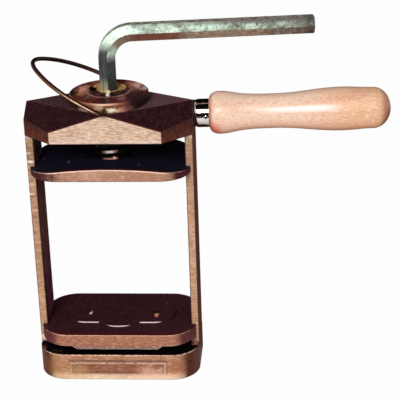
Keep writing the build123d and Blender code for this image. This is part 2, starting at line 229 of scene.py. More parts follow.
# each lamp has its place, size and power
lamps = {
    "keyLamp": ((-0.3, -1.3, 0.95), 0.6, 19.5),
    "fillLamp": ((1.3, -0.7, 0.6), 1.0, 2.5),
}

# black cards that only mirror-like surfaces see; each has its size, middle and turn about X
cards = {
    "overheadCard": ((2.2, 1.64), (0.0, -0.2, 1.25), 0),
    "backCard": ((2.6, 2.9), (0.0, 1.5, 1.45), 90),
    "frontCard": ((1.6, 0.56), (0.0, -1.0, 0.29), 90),
    "frontFloorCard": ((1.4, 0.55), (0.0, -0.72, 0.002), 0),
    "backFloorCard": ((1.4, 0.56), (0.0, 0.29, 0.002), 0),
}


def seenDirectly(tree):
    # 1 for the camera and for mirror and glass rays, which all show the white background
    path = addNode(tree, "LightPath").outputs
    seen = maths("MAXIMUM", path["Is Camera Ray"], path["Is Glossy Ray"])
    return maths("MAXIMUM", seen, path["Is Transmission Ray"])


def makeWorld():
    world = bpy.data.worlds.new("studioWorld")
    world.use_nodes = True
    scene.world = world
    background = world.node_tree.nodes["Background"]
    background.inputs["Color"].default_value = (1, 1, 1, 1)
    feed(background, Strength=slide(seenDirectly(world.node_tree), studio["ambient"], 1.0))


def makeFloor():
    bpy.ops.mesh.primitive_plane_add(size=studio["floorSize"], location=(0, 0, 0))
    floor = bpy.context.object
    floor.name = "floor"
    material, tree, shader = newMaterial("paleFloor")
    tree.nodes.remove(shader)
    direct = seenDirectly(tree)
    colour = blend(direct, studio["floorPaint"], studio["floorSeen"])
    paint = joinNode("BsdfDiffuse", {"Color": colour}).outputs[0]
    glow = addNode(tree, "Emission").outputs[0]
    share = times(direct, studio["floorGlow"])
    mixed = joinNode("MixShader", {0: share, 1: paint, 2: glow}).outputs[0]
    feed(tree.nodes["Material Output"], Surface=mixed)
    floor.data.materials.append(material)


def areaLamp(name, spot, size, power, target=(0.0, 0.0, 0.12)):
    bpy.ops.object.light_add(type="AREA", location=spot)
    lamp = bpy.context.object
    lamp.name = name
    lamp.data.size = size
    lamp.data.energy = power
    lamp.rotation_mode = "QUATERNION"
    lamp.rotation_quaternion = (Vector(spot) - Vector(target)).to_track_quat("Z", "Y")


def blackCard(name, size, spot, turn, material):
    bpy.ops.mesh.primitive_plane_add(size=1, location=spot, rotation=(radians(turn), 0, 0))
    piece = bpy.context.object
    piece.name = name
    piece.scale = (*size, 1)
    piece.data.materials.append(material)
    piece.visible_camera = piece.visible_diffuse = piece.visible_shadow = False
    piece.visible_transmission = piece.visible_volume_scatter = False


makeWorld()
makeFloor()
for name, lamp in lamps.items():
    areaLamp(name, *lamp)
cardBlack = newMaterial("cardBlack", Roughness=1.0, Base_Color=studio["cardPaint"], Specular_IOR_Level=0.0)[0]
for name, card in cards.items():
    blackCard(name, *card, cardBlack)
print("camera and studio set")

# cast metal: faces ground at the front and back, a dark skin elsewhere

frameLook = {
    "faceStops": (
        # the lowest stops paint a highlight along the base's bottom edge
        (0.0, (240, 200, 150)),
        (0.007, (255, 228, 198)),
        (0.02, (250, 202, 166)),
        (0.03, (198, 140, 106)),
        (0.05, (176, 114, 82)),
        (0.1, (190, 134, 102)),
        (0.14, (202, 152, 118)),
        (0.8, (200, 156, 122)),
        (0.885, (190, 152, 114)),
        (0.897, (243, 217, 198)),
        (0.91, (235, 206, 186)),
        (0.922, (226, 193, 168)),
    ),
    "streakLight": (255, 230, 214),
    "streakDark": (140, 96, 78),
    "fleckGold": (206, 160, 92),
    "fleckStops": ((0.0, 0.5), (0.13, 0.46), (0.2, 0.5), (0.88, 0.55), (0.9, 0.95)),
    "brown": (108, 60, 48),
    "brownDark": (64, 33, 31),
    "rust": (128, 58, 40),
    "rustFrom": (-30.3, -31.3),
    "stain": (48, 12, 12),
    "stainFrom": (-60.0, -61.0),
    "upward": (98, 66, 70),
    "upwardRight": (118, 84, 86),
    "rightFrom": (6.0, 34.0),
    "skinWear": 0.1,
    "squash": (0.45, 1, 1.4),
    "upwardDark": (68, 42, 45),
    "sloped": (58, 29, 30),
    "slopedDark": (33, 15, 20),
    "inward": (132, 70, 88),
    "outward": (116, 74, 66),
    "paintedShade": (8, 5, 7),
    "wearGlintTint": (255, 226, 208),
    "lineHighlight": (246, 208, 182),
    "height": 194.5,
    "paintedShadeBand": (19.0, 19.9, 30.0),
    "paintedShadeInside": (156.0, 162.0),
    "shadeInside": (-9.0, -13.5),
    "lineBand": (16.0, 18.0, 21.0),
    "groundFrom": (0.78, 0.995),
    "brownFrom": (0.45, 0.75),
    "outerFrom": (-2.0, -1.0),
    "brownRise": (190.0, 175.0),
    "panel": (33.5, 10.0, 5.0, -33.35),
}

# patches: middle, radius in millimetres, colour, strength. The light ones on the right post's foot and
# along the base's bottom are painted highlights, the dark ones high on the posts painted shade; the rest are
# stains
frameSpots = (
    ((53, -17, 22), 4.0, (220, 160, 140), 0.6),
    ((-52.6, -23.5, 19.5), 3.4, (100, 50, 46), 0.9),
    ((-55, -14.3, 104), 3.0, (136, 96, 78), 0.5),
    ((-42, -33, 8), 13.0, (184, 142, 88), 0.4),
    ((-28, -33, 2), 14.0, (226, 186, 130), 0.4),
    ((24, -33, 0), 16.0, (250, 206, 176), 0.6),
    ((41, -31, 10), 9.0, (172, 106, 78), 0.5),
    ((-40, -32, 12.5), 5.0, (206, 140, 104), 0.5),
    ((-51, -28.5, 9), 9.0, (128, 80, 56), 0.5),
    ((-54, -14.3, 104), 66.0, (144, 98, 74), 0.28),
    ((-54, -14.3, 164), 13.0, (124, 92, 68), 0.45),
    ((54, -14.3, 160), 13.0, (150, 94, 84), 0.35),
)

# the same, drawn out sideways on the left post's front; the light ones are painted highlights and
# reflections, the brightest on its flared foot, and the dark ones darker patches
postSpots = (
    ((-53, -15, 23.4), 3.7, (255, 246, 222), 1.0),
    ((-53.3, -14.3, 174), 2.0, (214, 168, 150), 0.7),
    ((-52.7, -14.3, 170.6), 2.0, (178, 150, 92), 0.8),
    ((-53.1, -14.3, 166.1), 1.3, (150, 106, 52), 0.8),
    ((-54.8, -14.3, 162.4), 1.2, (250, 226, 212), 0.8),
    ((-55.1, -14.3, 160.1), 1.0, (100, 52, 40), 0.8),
    ((-52.8, -14.3, 160.6), 1.1, (176, 130, 82), 0.7),
    ((-53.4, -14.3, 156.4), 1.6, (255, 244, 226), 1.0),
    ((-54.4, -14.3, 154.2), 1.2, (170, 140, 100), 0.7),
    ((-53.8, -14.3, 150), 1.4, (124, 78, 54), 0.7),
    ((-53.8, -14.3, 142), 0.9, (126, 80, 56), 0.8),
    ((-54.2, -14.3, 139.4), 1.6, (240, 210, 190), 0.7),
    ((-54.4, -14.3, 132.9), 1.5, (250, 232, 196), 0.8),
    ((-54.6, -14.3, 130.6), 1.1, (124, 78, 50), 0.7),
    ((-53.2, -14.3, 121), 1.8, (236, 206, 180), 0.6),
    ((-53.6, -14.3, 116), 1.2, (134, 90, 64), 0.6),
    ((-53, -14.3, 97), 2.2, (228, 176, 126), 0.6),
    ((-53, -14.3, 57), 2.4, (206, 172, 112), 0.5),
)

# on the platen's ground front: painted shade towards its left end, a painted highlight high in the middle,
# and a darker patch to the right
platenFaceSpots = (
    ((-46, -31, 152), 20.0, (84, 44, 46), 0.9),
    ((-12, -33, 155.5), 9.0, (220, 178, 160), 0.5),
    ((26, -33, 150), 20.0, (172, 124, 96), 0.35),
)

# painted glints on the platen's top under the head
platenSpots = (
    ((-27.5, -14.5, 156.4), 1.2, (96, 92, 84), 0.9),
    ((20.3, -21.8, 156.9), 1.1, (72, 68, 86), 0.9),
    ((-46, -4.5, 154.5), 1.0, (88, 92, 104), 0.7),
)

# painted glints on the rear edge of the plate's raised pad and at the shoulder screws' holes
plateSpots = (
    ((-31, 15.4, 36.1), 1.8, (116, 80, 82), 0.6),
    ((31.5, 15, 36.1), 2.2, (134, 76, 88), 0.8),
    ((-21.8, -1.7, 36), 1.5, (255, 240, 230), 1.0),
    ((25.3, -4.6, 36), 2.0, (236, 156, 122), 1.0),
)

# how far a patch's outline wanders and where it reaches full strength, as shares of its radius
patchEdge = {"wander": 1.5, "full": 0.2}


def spotted(spot, colour, spots, cloud, squash=(1, 1, 1)):
    spot = scaled(spot, squash)
    for centre, radius, paint, strength in spots:
        centre = tuple(c * s for c, s in zip(centre, squash))
        gap = joinNode("VectorMath", {0: spot, 1: centre}, operation="DISTANCE").outputs["Value"]
        gap = maths("ADD", gap, times(maths("SUBTRACT", cloud, 0.5), radius * patchEdge["wander"]))
        colour = tint(colour, paint, spread(gap, radius, radius * patchEdge["full"]), strength)
    return colour


def groundFace(spot, look):
    # copper-coloured face with fine marks of the grinder along X
    height = maths("DIVIDE", axes(spot)[2], look["height"])
    amount = ramp(height, [(share, (number, number, number, 1)) for share, number in look["fleckStops"]])
    streaks = noise(spot, 0.8, rough=0.65, stretch=(0.2, 0.2, 1))
    lines = noise(spot, 0.9, detail=2, stretch=(0.06, 0.06, 1))
    grain = noise(spot, 0.9, rough=0.7, stretch=(0.6, 0.6, 1))
    gold = noise(spot, 1.5, detail=2, stretch=(0.5, 0.5, 1))
    patch = noise(spot, 9, stretch=(0.5, 0.5, 1))
    colour = ramp(height, look["faceStops"])
    colour = tint(colour, look["streakDark"], spread(patch, 0.45, 0.75), 0.22)
    for cloud, low, high, share, paint in (
        (lines, 0.52, 0.34, 0.35, "streakDark"),
        (streaks, 0.47, 0.7, 0.95, "streakLight"),
        (streaks, 0.47, 0.3, 0.55, "streakDark"),
        (grain, 0.52, 0.72, 0.5, "streakDark"),
        (gold, 0.54, 0.7, 0.6, "fleckGold"),
    ):
        colour = tint(colour, look[paint], spread(cloud, low, high), share, amount)
    return colour, streaks


def panelMarks(spot, lean, colour, look):
    # grime and painted shade in the corner beside the panel's raised rim and under it,
    # and the rim's face lighter, as bare metal with a painted highlight
    halfWidth, middle, halfHeight, face = look["panel"]
    x, y, z = axes(spot)
    sideways = maths("SUBTRACT", maths("ABSOLUTE", x), halfWidth)
    upwards = maths("SUBTRACT", maths("ABSOLUTE", maths("SUBTRACT", z, middle)), halfHeight)
    gap = maths("MAXIMUM", sideways, upwards)
    wear = noise(spot, 2.5)
    around = times(spread(gap, -2.6, -1.2), spread(gap, 1.5, 0.2), spread(y, face + 1.5, face + 0.5))
    colour = tint(colour, look["brown"], around, slide(wear, 0.2, 1.0))
    colour = tint(colour, look["rust"], spread(gap, -0.9, -1.1), spread(y, face + 0.6, face + 0.3), 0.5)
    proud = spread(y, face - 0.25, face - 0.45)
    colour = tint(colour, look["lineHighlight"], proud, slide(spread(wear, 0.35, 0.6), 0.15, 0.7))
    return tint(colour, look["brownDark"], spread(lean[2], -0.3, -0.8), spread(y, face + 0.1, face - 0.1))


def castSkin(spot, lean, look):
    # dark skin, toned by facing as painted light and shade: lighter on level tops and more so to the right,
    # plum inside the posts and darker towards their front, browner on their outsides
    mottle = spread(noise(spot, 3.2, detail=6, rough=0.72), 0.36, 0.62)
    grain = noise(spot, 1.2, rough=0.6)
    flow = noise(spot, 2.2, stretch=(1, 1, 0.25))
    x, y, z = axes(spot)
    away = times(lean[0], maths("SIGN", x))
    outward = spread(away, 0.3, 0.9)
    upright = spread(maths("ABSOLUTE", lean[2]), 0.35, 0.1)
    level = blend(mottle, look["upward"], look["upwardDark"])
    level = tint(level, look["upwardRight"], spread(x, *look["rightFrom"]), 0.5)
    colour = blend(mottle, look["sloped"], look["slopedDark"])
    colour = tint(colour, level, spread(lean[2], 0.93, 0.98))
    within = blend(spread(flow, 0.38, 0.62), look["inward"], look["slopedDark"])
    within = tint(within, look["slopedDark"], spread(y, *look["shadeInside"]))
    colour = tint(colour, within, upright, maths("SUBTRACT", 1.0, outward), 0.9)
    colour = tint(colour, look["outward"], outward, upright)
    # painted shade: near black high on the posts' inner faces, under the head
    colour = tint(colour, look["paintedShade"], spread(away, -0.4, -0.9), spread(z, *look["paintedShadeInside"]))
    colour = tint(colour, look["brownDark"], spread(grain, 0.52, 0.72), 0.3)
    colour = tint(colour, look["slopedDark"], spread(grain, 0.46, 0.3), 0.5)
    colour = tint(colour, look["rust"], spread(y, *look["rustFrom"]), 0.6)
    # painted shade: near black on level faces between two heights, in the slot and under the head
    low, full, high = look["paintedShadeBand"]
    paintedShade = times(spread(z, low, full), spread(z, high, high - 3), spread(lean[2], 0.5, 0.9))
    colour = tint(colour, look["paintedShade"], paintedShade)
    return tint(colour, look["stain"], spread(y, *look["stainFrom"])), grain


def edgeLine(lean, z, band):
    # painted highlight: a bright line on the rounded upper edge between two heights, just under a dark one
    low, full, high = band
    rounded = times(spread(lean[2], 0.04, 0.16), spread(lean[2], 0.72, 0.5))
    across = spread(maths("ABSOLUTE", lean[1]), 0.25, 0.6)
    return times(rounded, across, spread(z, low, full), spread(z, high, high - 0.3))


def castMetal(name, look, spots=(), faceSpots=(), sideSpots=(), glints=None):
    material, tree, shader = newMaterial(name, Specular_IOR_Level=0.02)
    spot, lean = place(tree), facing(tree)
    x, y, z = axes(spot)
    square = maths("ABSOLUTE", lean[1])
    patch = noise(spot, 3.2, detail=4)
    outer = spread(maths("ABSOLUTE", y), *look["outerFrom"])
    ground = times(spread(square, *look["groundFrom"]), outer)
    cut, marks = groundFace(spot, look)
    cut = spotted(spot, cut, faceSpots, patch)
    if look.get("topLine"):
        # a painted highlight along the ground front's crowned upper edge
        top, drop, half, width = look["topLine"]
        bow = maths("POWER", maths("DIVIDE", maths("ABSOLUTE", x), half), 2.0)
        rise = maths("ADD", z, times(bow, drop))
        bright = times(spread(rise, top - width, top - 0.5 * width), slide(patch, 0.5, 1.4))
        cut = tint(cut, look["topHighlight"], bright, spread(bow, 0.68, 0.42))
    skin, grain = castSkin(spot, lean, look)
    # faces turned part way from the front, on corners and chamfers, get brown tones: painted shade, darker
    # high up
    low = times(spread(z, *look["brownRise"]), spread(patch, 0.2, 0.75))
    brown = blend(low, look["brownDark"], look["brown"])
    colour = tint(skin, brown, spread(square, *look["brownFrom"]), outer)
    colour = tint(colour, cut, ground)
    # edges bare from wear, lighter too as painted highlights on the rounded edges
    wearAndGlint = times(edges(tree, 1.1), spread(patch, 0.3, 0.56), slide(ground, look["skinWear"], 0.8))
    line = times(edgeLine(lean, z, look["lineBand"]), spread(grain, 0.36, 0.58))
    line = times(line, slide(spread(patch, 0.35, 0.55), 0.5, 1.0), outer)
    if look.get("panel"):
        colour = panelMarks(spot, lean, colour, look)
    if glints:
        # the low step on the plate stays dark but for the light on its rounded top edge
        wall = spread(z, *glints["wall"])
        colour = tint(colour, look["sloped"], wall, spread(square, 0.1, 0.4))
        shine = times(spread(square, *glints["turn"]), spread(z, *glints["band"]))
        colour = tint(colour, glints["paint"], shine, spread(y, *glints["front"]))
        wearAndGlint = times(wearAndGlint, maths("SUBTRACT", 1.0, wall))
    colour = tint(colour, look["wearGlintTint"], wearAndGlint)
    # painted highlight along the rounded upper edges of the fronts
    colour = tint(colour, look["lineHighlight"], line)
    colour = spotted(spot, colour, spots, patch)
    colour = spotted(spot, colour, sideSpots, patch, squash=look["squash"])
    feed(shader, Base_Color=colour, Metallic=slide(ground, 0.0, 0.35), Roughness=slide(grain, 0.42, 0.66))
    relief(shader, maths("ADD", times(grain, 0.8), times(marks, ground)), 0.12)
    return material


platenLook = dict(
    frameLook,
    faceStops=(
        (0.0, (118, 90, 70)),
        (0.7665, (124, 94, 74)),
        (0.7695, (186, 134, 108)),
        (1.0, (186, 134, 108)),
    ),
    fleckStops=((0.0, 0.5), (1.0, 0.5)),
    brown=(84, 44, 43),
    brownDark=(60, 30, 32),
    rustFrom=(-60.0, -61.0),
    stainFrom=(-27.5, -31.0),
    panel=None,
    lineHighlight=(226, 174, 164),
    topLine=(157.6, 4.5, 54.0, 1.5),
    topHighlight=(255, 222, 204),
    # the platen's top under the head is painted near black: painted shade
    upward=(16, 15, 26),
    upwardDark=(10, 9, 16),
    upwardRight=(16, 15, 26),
    skinWear=0.0,
    squash=(1, 0.45, 1),
    sloped=(78, 38, 42),
    slopedDark=(56, 26, 32),
    inward=(60, 30, 36),
    outward=(84, 42, 44),
    paintedShade=(23, 21, 33),
    paintedShadeBand=(151.0, 152.0, 170.0),
    lineBand=(151.0, 152.0, 158.0),
    groundFrom=(0.8, 0.998),
    brownFrom=(0.2, 0.6),
    outerFrom=(22.0, 26.0),
    brownRise=(160.0, 150.0),
)

plateLook = dict(
    platenLook,
    faceStops=(
        # the lowest stops: dark under the plate's bottom edge as painted shade in the slot, then a painted
        # highlight along that edge
        (0.0, (58, 42, 42)),
        (0.1232, (66, 48, 48)),
        (0.1258, (162, 126, 130)),
        (0.129, (150, 108, 104)),
        (0.1325, (162, 101, 76)),
        (0.14, (174, 111, 83)),
        (0.16, (174, 111, 83)),
        (1.0, (184, 128, 104)),
    ),
    fleckStops=((0.0, 0.42), (1.0, 0.42)),
    lineHighlight=(236, 180, 158),
    brown=(120, 66, 62),
    brownDark=(90, 48, 50),
    upward=(66, 33, 39),
    upwardDark=(50, 23, 29),
    upwardRight=(66, 33, 39),
    topLine=(34.6, 0.0, 54.0, 0.9),
    topHighlight=(236, 184, 164),
    rust=(82, 22, 12),
    rustFrom=(-26.5, -29.5),
    stainFrom=(-60.0, -61.0),
    sloped=(54, 24, 30),
    slopedDark=(40, 18, 24),
    outward=(110, 62, 62),
    paintedShadeBand=(0.0, 0.1, 1.0),
    lineBand=(32.0, 33.4, 34.7),
    brownRise=(40.0, 24.0),
)

stepGlints = {
    "wall": (34.65, 34.85),
    "band": (34.85, 35.1),
    "turn": (0.9, 0.995),
    "front": (-8.0, -10.0),
    "paint": (255, 222, 220),
}

dress(castMetal("frameCasting", frameLook, frameSpots, sideSpots=postSpots), "press_frame")
dress(castMetal("platenCasting", platenLook, (), platenFaceSpots, platenSpots), "upper_platen")
dress(castMetal("plateCasting", plateLook, sideSpots=plateSpots, glints=stepGlints), "lower_plate")
print("castings dressed")

# turned pieces: nut and screw

nutLook = {
    "maroon": (132, 61, 47),
    "maroonDark": (56, 25, 27),
    "shadow": (38, 19, 21),
    "copper": (164, 108, 84),
    "copperDark": (120, 66, 48),
    "pale": (255, 206, 184),
    "lip": (172, 124, 118),
    "lipRadius": 15.4,
    "rimRadius": 25.4,
    "topHeight": 200.8,
    "shadeRight": (11.0, 19.0),
    "shadeLeft": (-12.0, -18.0),
    "shadeBack": (-12.0, 2.0),
    "rimFront": (2.0, -10.0),
    "rimRight": (17.0, 7.0),
    "rimMiddle": (12.0, 0.0),
    "lipFront": (-11.0, -14.0),
}

screwLook = {
    "brass": (250, 196, 126),
    "amber": (176, 116, 64),
    "shade": (26, 11, 9),
    "oiled": (12, 7, 8),
    "glint": (194, 138, 128),
    "glintHot": (255, 240, 236),
    "rim": (46, 21, 17),
    "rimWarm": (104, 58, 42),
    "bowlBack": (-2.4, 0.6),
    "bowlFloor": (8.4, 7.2),
    "rimFrom": (11.5, 12.1),
    "rimRight": (2.0, 10.0),
    "rimBack": (-6.0, 0.0),
    "crestRadius": 12.6,
    "crestLeft": (-8.0, 1.0),
    "darkenedBelow": 190.0,
    "glintBelow": 165.0,
    "upperCrest": (158.5, 161.0),
}

# patches on the nut's top, drawn out along Y: painted reflections, light to the left and right and dark at
# the front
nutTopSpots = (
    ((17.8, -9, 200.8), 10.0, (58, 34, 41), 0.95),
    ((0, -19.5, 200.8), 7.0, (54, 23, 33), 0.8),
    ((-25, -3, 200.8), 5.5, (44, 24, 22), 0.95),
    ((-10, 20, 200.8), 7.0, (166, 102, 76), 0.6),
    ((-17, 3, 200.8), 6.8, (214, 146, 116), 1.0),
    ((-18.6, 4, 200.8), 3.0, (246, 190, 158), 0.7),
    ((15, 14, 200.8), 8.4, (204, 136, 114), 0.9),
    ((18, 13, 200.8), 3.8, (250, 206, 190), 0.9),
    ((23, 6, 200.8), 3.4, (236, 200, 184), 0.8),
    ((10.3, -14.8, 200.8), 4.0, (166, 106, 102), 0.8),
    ((-13, -12, 200.8), 2.4, (136, 112, 104), 0.6),
)

# patches on its wall, drawn out sideways: painted highlights beside the bail's pin, and a darker patch to the
# right
nutWallSpots = (
    ((-7, -25.5, 197.5), 8.0, (152, 102, 62), 0.6),
    ((-3.5, -26.2, 198.2), 3.5, (206, 176, 138), 0.8),
    ((-14.2, -22.3, 195), 4.5, (184, 146, 132), 0.7),
    ((11.2, -24, 195.6), 4.5, (196, 136, 112), 0.8),
    ((15.5, -21.2, 196), 4.0, (112, 70, 72), 0.8),
    ((7.8, -25.3, 195.9), 2.6, (232, 194, 160), 0.9),
    ((4.4, -26.1, 196.4), 3.6, (255, 240, 206), 1.0),
)

# painted light on the screw: gold and white highlights at the front of its top, a painted shade to the front
# left, and a painted glint on the lowest crest
screwSpots = (
    ((-6, -1.8, 202.2), 3.0, (244, 190, 116), 0.8),
    ((0.5, -6.6, 202.4), 2.6, (255, 246, 190), 1.0),
    ((0.7, -10.2, 202.8), 2.6, (255, 220, 176), 1.0),
    ((0.8, -12.9, 201.9), 2.0, (255, 246, 232), 1.0),
    ((-5.5, -11, 203.3), 2.6, (92, 36, 30), 0.8),
    ((3.2, -12.6, 158.2), 1.4, (252, 222, 184), 1.0),
)


def turning(x, y, z):
    # distance from the turning axis, angle round it, and coordinates drawn out along the tool's path
    radius = maths("SQRT", maths("ADD", times(x, x), times(y, y)))
    angle = maths("ARCTAN2", y, x)
    return radius, angle, joinNode("CombineXYZ", {0: radius, 1: z, 2: angle}).outputs[0]


def turnedCopper(name, look, topSpots, wallSpots):
    material, tree, shader = newMaterial(name, Metallic=0.15, Specular_IOR_Level=0.06)
    spot = place(tree)
    x, y, z = axes(spot)
    radius, angle, path = turning(x, y, z)
    rings = noise(path, 1.1, detail=4, rough=0.7)
    band = noise(path, 3.0, detail=2)
    mottle = noise(spot, 2.6, detail=5, rough=0.65)
    lip, rim, top = look["lipRadius"], look["rimRadius"], look["topHeight"]
    # painted reflections: the turned top is lighter to the left and right than at the front
    fan = maths("POWER", maths("ABSOLUTE", maths("COSINE", angle)), 3.0)
    colour = blend(spread(mottle, 0.35, 0.65), look["maroon"], look["maroonDark"])
    colour = tint(colour, look["copperDark"], fan, spread(band, 0.25, 0.6), 0.6)
    colour = spotted(spot, colour, topSpots, mottle, squash=(1, 0.45, 1))
    colour = tint(colour, look["maroonDark"], spread(radius, lip - 0.6, lip - 1.2), 0.85)
    # the wall in painted shade to the right, the left and the back
    side = blend(spread(x, *look["shadeRight"]), look["copperDark"], look["shadow"])
    side = tint(side, look["maroonDark"], spread(x, *look["shadeLeft"]))
    side = tint(side, look["shadow"], spread(y, *look["shadeBack"]))
    side = spotted(spot, side, wallSpots, mottle, squash=(0.7, 0.7, 1.5))
    wall = spread(radius, rim, rim + 0.6)
    colour = tint(colour, side, wall)
    # light along the rim's front, and on the lip round the screw
    trim = tint(look["copper"], look["pale"], spread(maths("ABSOLUTE", x), *look["rimMiddle"]))
    front = times(spread(y, *look["rimFront"]), spread(x, *look["rimRight"]))
    colour = tint(colour, trim, wall, spread(z, top - 1.4, top - 0.9), front, slide(mottle, 0.55, 1.3))
    raised = times(spread(z, top + 0.2, top + 0.6), slide(spread(mottle, 0.35, 0.6), 0.25, 1.0))
    colour = tint(colour, look["lip"], raised, slide(spread(y, *look["lipFront"]), 1.0, 0.3))
    colour = tint(colour, look["copper"], spread(rings, 0.52, 0.72), 0.25)
    colour = tint(colour, look["maroonDark"], spread(rings, 0.48, 0.32), 0.6)
    feed(shader, Base_Color=colour, Roughness=slide(mottle, 0.36, 0.54))
    relief(shader, rings, 0.05)
    return material


def turnedBrass(name, look, spots):
    material, tree, shader = newMaterial(name, Specular_IOR_Level=0.2)
    spot, lean = place(tree), facing(tree)
    x, y, z = axes(spot)
    radius, _, path = turning(x, y, z)
    mottle = noise(spot, 2.2, detail=4)
    # painted light and shade: the bowl is bright at the back and right, dark at the front
    across = maths("ADD", maths("ADD", y, times(x, 0.35)), slide(mottle, -1.5, 1.5))
    bowl = blend(spread(mottle, 0.42, 0.68), look["brass"], look["amber"])
    colour = blend(spread(across, *look["bowlBack"]), look["shade"], bowl)
    colour = tint(colour, look["brass"], spread(radius, *look["bowlFloor"]))
    # the screw's rim in painted shade, warmer at the back to the right
    rim = tint(look["rim"], look["rimWarm"], spread(x, *look["rimRight"]), spread(y, *look["rimBack"]))
    colour = tint(colour, rim, spread(radius, *look["rimFrom"]))
    # near black below the nut, down through the gap to the platen
    oiled = spread(z, look["darkenedBelow"], look["darkenedBelow"] - 4)
    colour = tint(colour, look["oiled"], oiled)
    # light on the front of the thread's crests
    front = times(lean[1], -1.0)
    upper = spread(z, *look["upperCrest"])
    glint = tint(look["glint"], look["glintHot"], spread(front, 0.965, 0.995), upper)
    crest = spread(radius, look["crestRadius"], look["crestRadius"] + 0.25)
    crest = times(crest, spread(z, look["glintBelow"], look["glintBelow"] - 0.6), spread(front, 0.88, 0.98))
    crest = times(crest, slide(upper, 0.75, 1.0), slide(spread(x, *look["crestLeft"]), 0.3, 1.0))
    colour = tint(colour, glint, crest, slide(mottle, 0.5, 1.3))
    colour = spotted(spot, colour, spots, mottle)
    feed(shader, Base_Color=colour, Metallic=slide(oiled, 0.4, 0.0), Roughness=slide(mottle, 0.16, 0.3))
    relief(shader, noise(path, 0.8, rough=0.6), 0.03)
    return material


dress(turnedCopper("nutCopper", nutLook, nutTopSpots, nutWallSpots), "flange_nut")
screwBrass = turnedBrass("screwBrass", screwLook, screwSpots)
print("nut dressed")

# modelling helpers


def activate(piece):
    bpy.ops.object.select_all(action="DESELECT")
    piece.select_set(True)
    bpy.context.view_layer.objects.active = piece


@contextmanager
def editing(piece):
    # edit mode with the whole mesh selected
    activate(piece)
    bpy.ops.object.mode_set(mode="EDIT")
    bpy.ops.mesh.select_all(action="SELECT")
    yield
    bpy.ops.object.mode_set(mode="OBJECT")


def drawProfile(name, points):
    # a line from point to point; a point is (distance from the axis, height) in millimetres
    bpy.ops.mesh.primitive_plane_add(size=mm, location=(points[0][0] * mm, 0, points[0][1] * mm))
    piece = bpy.context.object
    piece.name = piece.data.name = name
    with editing(piece):
        bpy.ops.mesh.merge(type="CENTER")
        for (r1, z1), (r2, z2) in zip(points, points[1:]):
            step = ((r2 - r1) * mm, 0, (z2 - z1) * mm)
            bpy.ops.mesh.extrude_vertices_move(TRANSFORM_OT_translate={"value": step})
    bpy.ops.object.transform_apply()
    return piece


def tidyMesh(piece, merge=0.002):
    with editing(piece):
        bpy.ops.mesh.remove_doubles(threshold=merge * mm)
        bpy.ops.mesh.normals_make_consistent(inside=False)


def lathe(piece, steps):
    with editing(piece):
        bpy.ops.mesh.spin(steps=steps, angle=tau, center=(0, 0, 0), axis=(0, 0, 1))
    tidyMesh(piece)


def cutFlat(piece, height, keepAbove):
    # slices across at a height in millimetres and closes the cut
    with editing(piece):
        bpy.ops.mesh.bisect(
            plane_co=(0, 0, height * mm), plane_no=(0, 0, 1), use_fill=True,
            clear_inner=keepAbove, clear_outer=not keepAbove,
        )


def modify(piece, kind, **settings):
    activate(piece)
    bpy.ops.object.modifier_add(type=kind)
    modifier = piece.modifiers[-1]
    for key, value in settings.items():
        setattr(modifier, key, value)
    bpy.ops.object.modifier_apply(modifier=modifier.name)


def joinSolids(piece, other, operation):
    modify(piece, "BOOLEAN", operation=operation, object=other, solver="EXACT")
    bpy.data.objects.remove(other)


def finishPiece(piece, material, angle):
    # smooth up to an angle in degrees, with one material
    activate(piece)
    bpy.ops.object.shade_smooth_by_angle(angle=radians(angle))
    piece.data.materials.clear()
    piece.data.materials.append(material)


# press screw with a true helical thread

screwShape = {
    "pitch": 5.0,
    "crestWidth": 1.8,
    "threadDepth": 2.6,
    "crestDrop": 0.03,
    "crestAtFront": 162.5,
    "steps": 72,
    "land": 1.8,
    "buttonRadius": 10.5,
    "buttonThickness": 2.2,
    "neckRadius": 7.5,
    "neckGap": 0.3,
    "coreGap": 0.3,
    "coreStart": 1.0,
    "rimWidth": 0.9,
    "dishDepth": 1.4,
    "dishFloor": 7.0,
    "dishCurve": 0.15,
    "dishSteps": 8,
    "socketFlats": 11.5,
    "socketDepth": 14.0,
    "socketTurn": 7.0,
}


